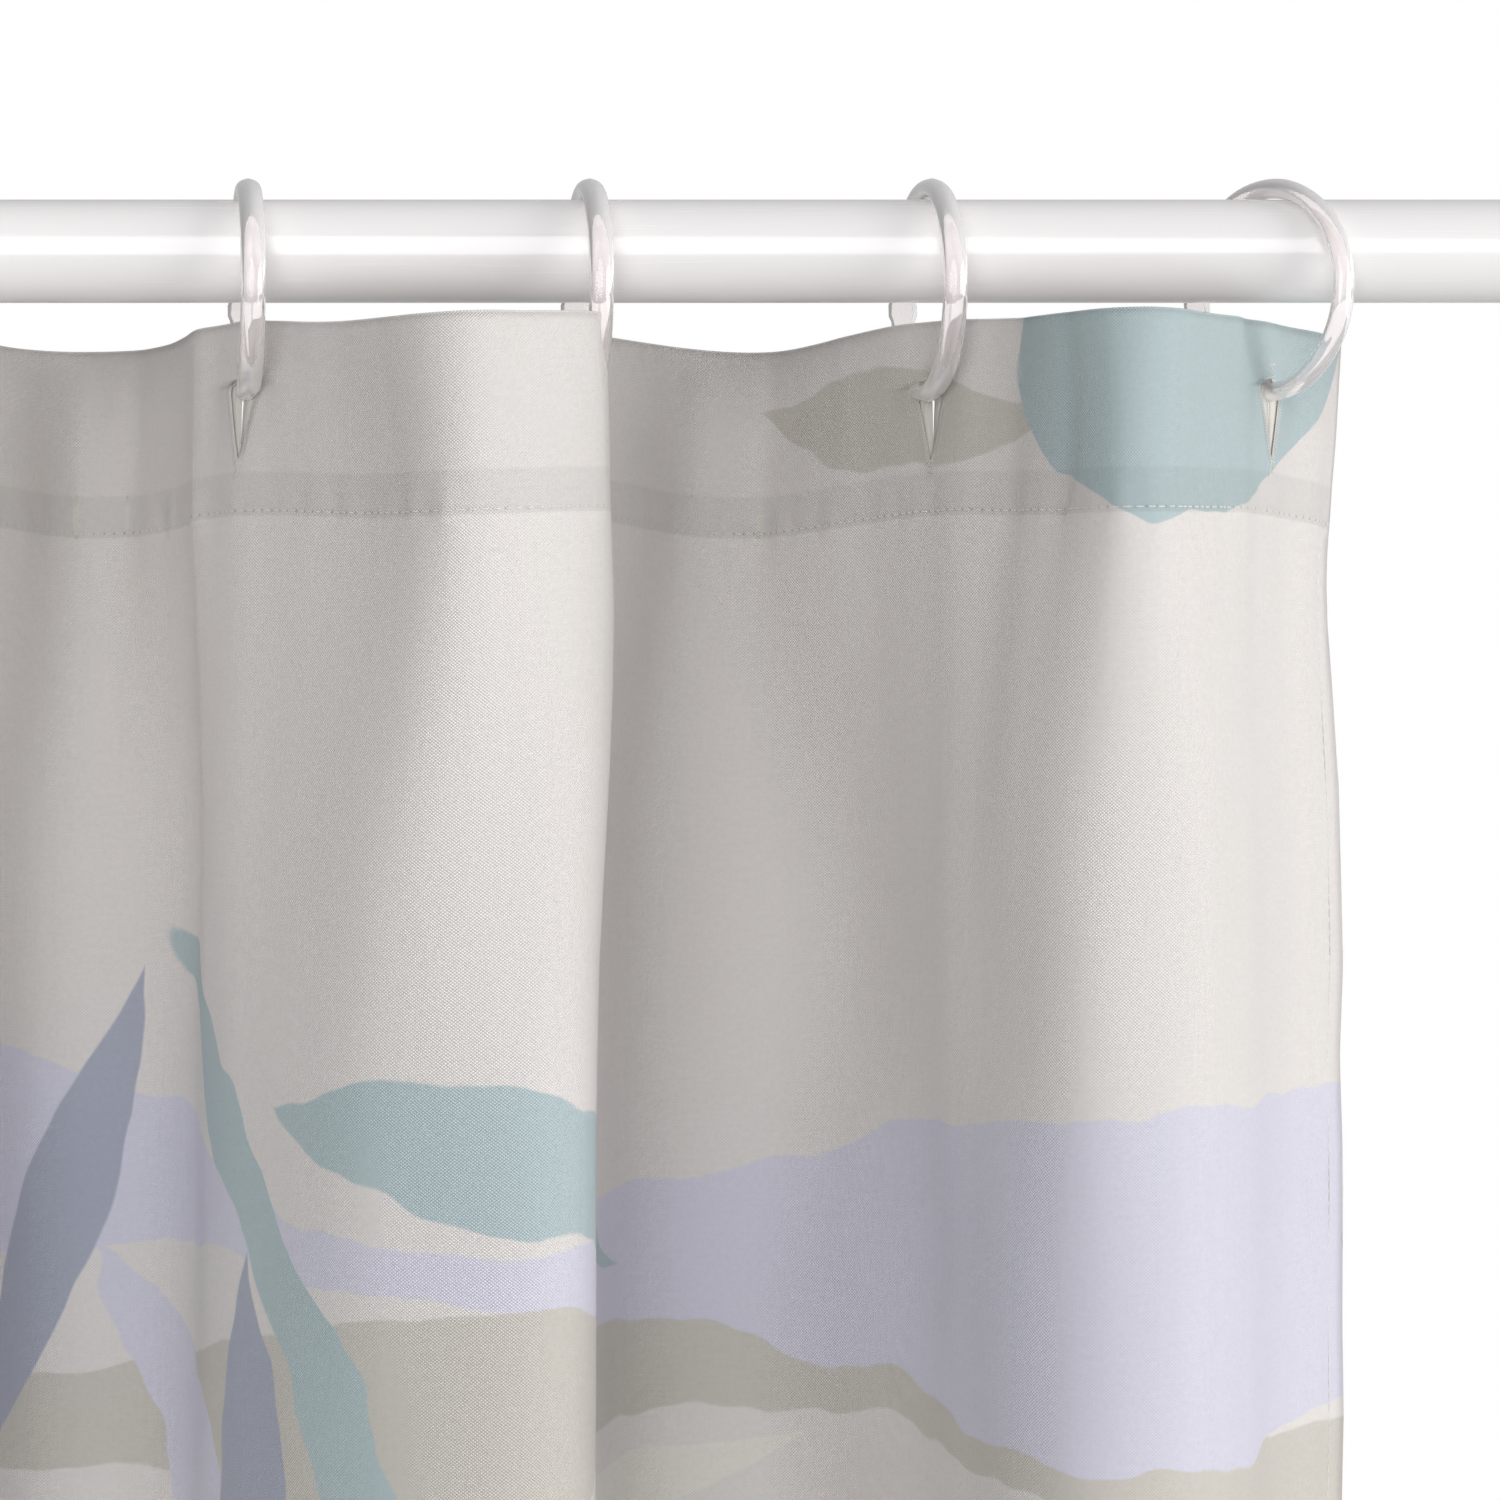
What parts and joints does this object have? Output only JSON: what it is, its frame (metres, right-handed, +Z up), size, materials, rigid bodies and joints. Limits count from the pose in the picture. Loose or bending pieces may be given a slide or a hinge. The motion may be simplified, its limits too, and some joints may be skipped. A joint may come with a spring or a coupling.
{
  "type": "shower curtain",
  "caption": "Printed cloth shower curtain with sewn buttonholes, hung by clear snap rings from a white telescopic tension rod.",
  "frame": {"origin": "middle of the right foot's wall face, on the rod's axis", "axes": "+X along the rod towards the right wall, +Y away from the room and into the shower, +Z up"},
  "size_m": [1.5, 0.1323, 1.921],
  "materials": {
    "white_enamel": "gloss white enamel on steel tube",
    "white_plastic": "moulded white plastic, satin",
    "grey_rubber": "matte rubber",
    "zinc_steel": "zinc plated",
    "clear_plastic": "clear moulded plastic",
    "printed_cloth": "plain woven polyester with a printed pattern",
    "sewing_thread": "polyester thread"
  },
  "bodies": {
    "rod": {"outer_tube": "white_enamel", "tube_collar": "white_plastic", "right_foot_cap": "white_plastic", "right_foot_pad": "grey_rubber"},
    "rod_extension": {"inner_tube": "white_enamel", "left_foot_cap": "white_plastic", "left_foot_pad": "grey_rubber", "lock_plug": "white_plastic", "lock_screw": "zinc_steel", "lock_expander": "grey_rubber"},
    "curtain": {"curtain_panel": "printed_cloth", "top_hem": "printed_cloth", "top_hem_allowance": "printed_cloth", "bottom_hem": "printed_cloth", "right_side_hem": "printed_cloth", "left_side_hem": "printed_cloth", "top_hem_thread": "sewing_thread", "bottom_hem_thread": "sewing_thread", "right_hem_thread": "sewing_thread", "left_hem_thread": "sewing_thread", "buttonhole_01": "sewing_thread", "buttonhole_02": "sewing_thread", "buttonhole_03": "sewing_thread", "buttonhole_04": "sewing_thread", "buttonhole_05": "sewing_thread", "buttonhole_06": "sewing_thread", "buttonhole_07": "sewing_thread", "buttonhole_08": "sewing_thread", "buttonhole_09": "sewing_thread", "buttonhole_10": "sewing_thread", "buttonhole_11": "sewing_thread", "buttonhole_12": "sewing_thread", "ring_01": "clear_plastic"},
    "hanger_02": {"ring_02": "clear_plastic"},
    "hanger_03": {"ring_03": "clear_plastic"},
    "hanger_04": {"ring_04": "clear_plastic"},
    "hanger_05": {"ring_05": "clear_plastic"},
    "hanger_06": {"ring_06": "clear_plastic"},
    "hanger_07": {"ring_07": "clear_plastic"},
    "hanger_08": {"ring_08": "clear_plastic"},
    "hanger_09": {"ring_09": "clear_plastic"},
    "hanger_10": {"ring_10": "clear_plastic"},
    "hanger_11": {"ring_11": "clear_plastic"},
    "hanger_12": {"ring_12": "clear_plastic"}
  },
  "joints": [
    {"name": "rod_length", "type": "slide", "parent": "rod", "child": "rod_extension", "axis": [-1, 0, 0], "range_m": [-0.34, 0.3]},
    {"name": "curtain_swing", "type": "hinge", "parent": "rod", "child": "curtain", "pos_m": [-0.135, 0, 0], "axis": [1, 0, 0], "range_deg": [-12, 12]},
    {"name": "curtain_draw", "type": "slide", "parent": "curtain", "child": "hanger_12", "axis": [1, 0, 0], "range_m": [0, 0.61908], "deforming": ["curtain_panel", "top_hem", "top_hem_allowance", "bottom_hem", "right_side_hem", "left_side_hem", "top_hem_thread", "bottom_hem_thread", "right_hem_thread", "left_hem_thread", "buttonhole_01", "buttonhole_02", "buttonhole_03", "buttonhole_04", "buttonhole_05", "buttonhole_06", "buttonhole_07", "buttonhole_08", "buttonhole_09", "buttonhole_10", "buttonhole_11", "buttonhole_12"]},
    {"name": "ring_02_slide", "type": "slide", "parent": "curtain", "child": "hanger_02", "axis": [1, 0, 0], "range_m": [0, 0.0568]},
    {"name": "ring_03_slide", "type": "slide", "parent": "curtain", "child": "hanger_03", "axis": [1, 0, 0], "range_m": [0, 0.1131]},
    {"name": "ring_04_slide", "type": "slide", "parent": "curtain", "child": "hanger_04", "axis": [1, 0, 0], "range_m": [0, 0.1693]},
    {"name": "ring_05_slide", "type": "slide", "parent": "curtain", "child": "hanger_05", "axis": [1, 0, 0], "range_m": [0, 0.2256]},
    {"name": "ring_06_slide", "type": "slide", "parent": "curtain", "child": "hanger_06", "axis": [1, 0, 0], "range_m": [0, 0.2819]},
    {"name": "ring_07_slide", "type": "slide", "parent": "curtain", "child": "hanger_07", "axis": [1, 0, 0], "range_m": [0, 0.3382]},
    {"name": "ring_08_slide", "type": "slide", "parent": "curtain", "child": "hanger_08", "axis": [1, 0, 0], "range_m": [0, 0.3945]},
    {"name": "ring_09_slide", "type": "slide", "parent": "curtain", "child": "hanger_09", "axis": [1, 0, 0], "range_m": [0, 0.4507]},
    {"name": "ring_10_slide", "type": "slide", "parent": "curtain", "child": "hanger_10", "axis": [1, 0, 0], "range_m": [0, 0.507]},
    {"name": "ring_11_slide", "type": "slide", "parent": "curtain", "child": "hanger_11", "axis": [1, 0, 0], "range_m": [0, 0.5633]}
  ],
  "couplings": [
    {"joint": "ring_02_slide", "follows": "curtain_draw", "ratio": 0.090909},
    {"joint": "ring_03_slide", "follows": "curtain_draw", "ratio": 0.18182},
    {"joint": "ring_04_slide", "follows": "curtain_draw", "ratio": 0.27273},
    {"joint": "ring_05_slide", "follows": "curtain_draw", "ratio": 0.36364},
    {"joint": "ring_06_slide", "follows": "curtain_draw", "ratio": 0.45455},
    {"joint": "ring_07_slide", "follows": "curtain_draw", "ratio": 0.54545},
    {"joint": "ring_08_slide", "follows": "curtain_draw", "ratio": 0.63636},
    {"joint": "ring_09_slide", "follows": "curtain_draw", "ratio": 0.72727},
    {"joint": "ring_10_slide", "follows": "curtain_draw", "ratio": 0.81818},
    {"joint": "ring_11_slide", "follows": "curtain_draw", "ratio": 0.90909}
  ]
}
